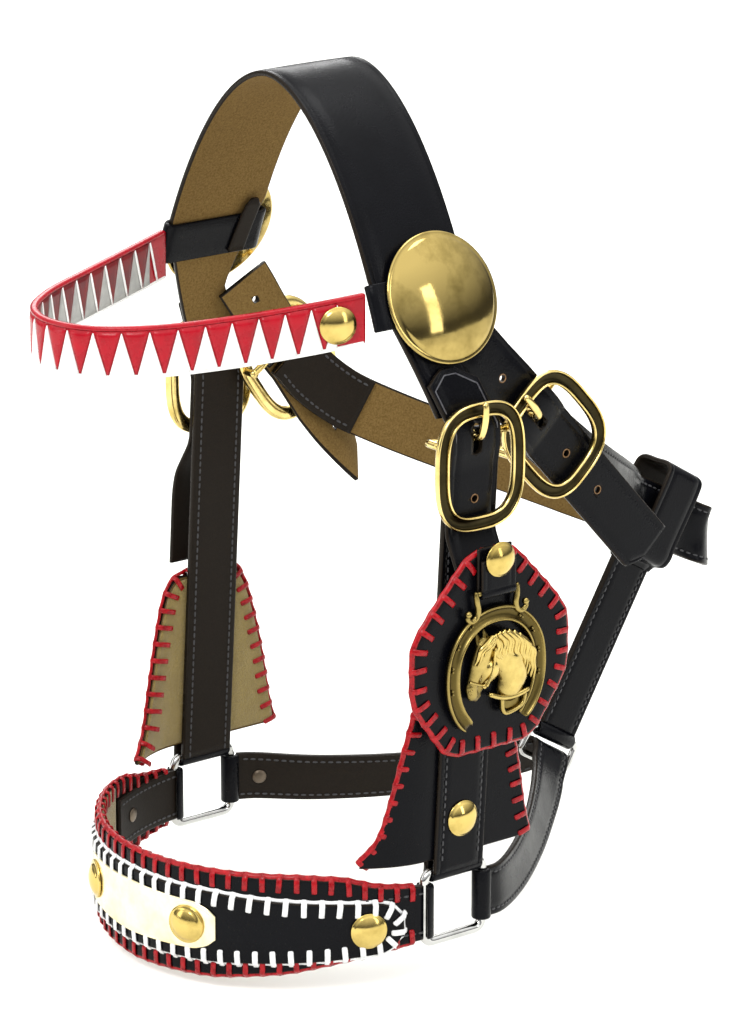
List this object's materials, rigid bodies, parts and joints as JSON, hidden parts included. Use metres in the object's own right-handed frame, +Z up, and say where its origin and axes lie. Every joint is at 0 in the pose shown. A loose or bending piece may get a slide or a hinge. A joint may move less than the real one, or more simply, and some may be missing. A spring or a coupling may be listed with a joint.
{
  "type": "horse headstall",
  "caption": "Black leather show headstall with browband, laced noseband and cheek flaps, buckled crown and throat straps, chin strap, rings and brass fittings.",
  "frame": {"origin": "poll seat: middle of the crown strap's underside, where the headstall hangs on the head", "axes": "+X to the horse's left, -Y towards its face, +Z up"},
  "size_m": [0.2618, 0.4487, 0.4576],
  "materials": {
    "black_leather": "semi-gloss bridle leather, brown flesh side",
    "olive_felt": "felt",
    "red_lace": "flat lace, glossy",
    "white_lace": "flat lace, glossy",
    "red_band": "glossy",
    "woven_teeth": "red and white woven tape, glossy",
    "nickel": "polished nickel",
    "plate_brass": "pale polished brass",
    "rivet": "dull",
    "brass": "polished"
  },
  "bodies": {
    "root": {"browband": "red_band", "browband_loop_left": "black_leather", "browband_loop_right": "black_leather", "browband_studs": "brass", "browband_weave": "woven_teeth", "cheek_billet_left": "black_leather", "cheek_billet_right": "black_leather", "cheek_flap_left": "black_leather", "cheek_flap_right": "black_leather", "cheek_strap_left": "black_leather", "cheek_strap_right": "black_leather", "cheek_studs": "brass", "chin_strap": "black_leather", "chin_strap_rivets": "rivet", "crown_strap": "black_leather", "flap_lacing_left": "red_lace", "flap_lacing_right": "red_lace", "flap_lining_left": "olive_felt", "flap_lining_right": "olive_felt", "jaw_strap": "black_leather", "medallion_pad": "black_leather", "medallion_tab": "black_leather", "name_plate": "plate_brass", "noseband": "black_leather", "noseband_lacing": "red_lace", "noseband_lining": "olive_felt", "noseband_overlay": "black_leather", "noseband_rivets": "rivet", "overlay_end_studs": "brass", "overlay_lacing": "white_lace", "pad_lacing": "red_lace", "plate_studs": "brass", "rosette_left": "brass", "rosette_right": "brass", "square_ring_left": "nickel", "square_ring_right": "nickel", "tab_stud": "brass", "throat_billet_left": "black_leather", "throat_billet_right": "black_leather", "throat_strap": "black_leather", "tuck_strap_left": "black_leather", "tuck_strap_right": "black_leather"},
    "cheek_frame_left": {"cheek_buckle_frame_left": "brass"},
    "cheek_tongue_left": {"cheek_buckle_tongue_left": "brass"},
    "throat_frame_left": {"throat_buckle_frame_left": "brass"},
    "throat_tongue_left": {"throat_buckle_tongue_left": "brass"},
    "cheek_frame_right": {"cheek_buckle_frame_right": "brass"},
    "cheek_tongue_right": {"cheek_buckle_tongue_right": "brass"},
    "throat_frame_right": {"throat_buckle_frame_right": "brass"},
    "throat_tongue_right": {"throat_buckle_tongue_right": "brass"},
    "medallion_brass": {"horse_brass": "brass"},
    "lead_ring": {"lead_ring": "nickel"}
  },
  "joints": [
    {"name": "cheek_frame_left_rock", "type": "hinge", "parent": "root", "child": "cheek_frame_left", "pos_m": [0.1063, 0.017, -0.172], "axis": [0, 1, 0], "range_deg": [-1.5, 1.5]},
    {"name": "cheek_tongue_left_open", "type": "hinge", "parent": "cheek_frame_left", "child": "cheek_tongue_left", "pos_m": [0.1063, 0.017, -0.172], "axis": [0, 1, 0], "range_deg": [0, 45]},
    {"name": "throat_frame_left_rock", "type": "hinge", "parent": "root", "child": "throat_frame_left", "pos_m": [0.0927, 0.0675, -0.1727], "axis": [0, 0.7373, 0.6756], "range_deg": [-1.5, 1.5]},
    {"name": "throat_tongue_left_open", "type": "hinge", "parent": "throat_frame_left", "child": "throat_tongue_left", "pos_m": [0.0927, 0.0675, -0.1727], "axis": [0, 0.7373, 0.6756], "range_deg": [0, 45]},
    {"name": "cheek_frame_right_rock", "type": "hinge", "parent": "root", "child": "cheek_frame_right", "pos_m": [-0.1063, 0.017, -0.172], "axis": [0, -1, 0], "range_deg": [-1.5, 1.5]},
    {"name": "cheek_tongue_right_open", "type": "hinge", "parent": "cheek_frame_right", "child": "cheek_tongue_right", "pos_m": [-0.1063, 0.017, -0.172], "axis": [0, -1, 0], "range_deg": [0, 45]},
    {"name": "throat_frame_right_rock", "type": "hinge", "parent": "root", "child": "throat_frame_right", "pos_m": [-0.0902, 0.0492, -0.17], "axis": [0, -0.829, -0.5592], "range_deg": [-1.5, 1.5]},
    {"name": "throat_tongue_right_open", "type": "hinge", "parent": "throat_frame_right", "child": "throat_tongue_right", "pos_m": [-0.0902, 0.0492, -0.17], "axis": [0, -0.829, -0.5592], "range_deg": [0, 45]},
    {"name": "medallion_brass_swing", "type": "hinge", "parent": "root", "child": "medallion_brass", "pos_m": [0.1336, 0.013, -0.246], "axis": [0, -1, 0], "range_deg": [0, 40]},
    {"name": "lead_ring_swing", "type": "hinge", "parent": "root", "child": "lead_ring", "pos_m": [0, 0.16612, -0.39414], "axis": [0, 0.8572, -0.515], "range_deg": [-3, 3]}
  ]
}
